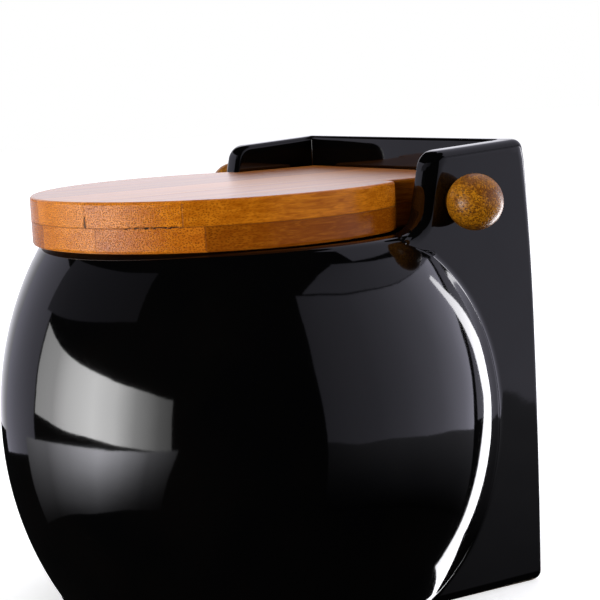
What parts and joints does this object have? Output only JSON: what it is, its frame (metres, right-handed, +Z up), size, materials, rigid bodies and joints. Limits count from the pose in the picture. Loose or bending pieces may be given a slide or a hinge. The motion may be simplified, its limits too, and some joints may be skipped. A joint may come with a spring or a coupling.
{
  "type": "salt box",
  "caption": "Round-bellied glazed ceramic salt box with a flat back, raised cheeks and a hinged laminated bamboo lid that turns on wooden pins with ball ends.",
  "frame": {"origin": "on the table, under the middle of the overall outline", "axes": "+Z up, -Y towards the round front, +X to the right of someone who faces the front; the lid's hinge axis is along X"},
  "size_m": [0.1334, 0.1218, 0.1158],
  "materials": {
    "glaze": "glossy black glaze",
    "bamboo": "oiled, satin, laminated bamboo",
    "pin_wood": "plain turned wood",
    "ball_wood": "glossy lacquer"
  },
  "bodies": {
    "pot": {"ceramic_body": "glaze"},
    "lid": {"lid_upper_strip_1": "bamboo", "lid_upper_strip_2": "bamboo", "lid_upper_strip_3": "bamboo", "lid_upper_strip_4": "bamboo", "lid_upper_strip_5": "bamboo", "lid_lower_strip_1": "bamboo", "lid_lower_strip_2": "bamboo", "lid_lower_strip_3": "bamboo", "lid_lower_strip_4": "bamboo", "lid_lower_strip_5": "bamboo", "hinge_pin_left": "pin_wood", "hinge_pin_right": "pin_wood", "hinge_ball_left": "ball_wood", "hinge_ball_right": "ball_wood"}
  },
  "joints": [
    {"name": "lid_hinge", "type": "hinge", "parent": "pot", "child": "lid", "pos_m": [0, 0.0377, 0.1022], "axis": [-1, 0, 0], "range_deg": [0, 114]}
  ]
}
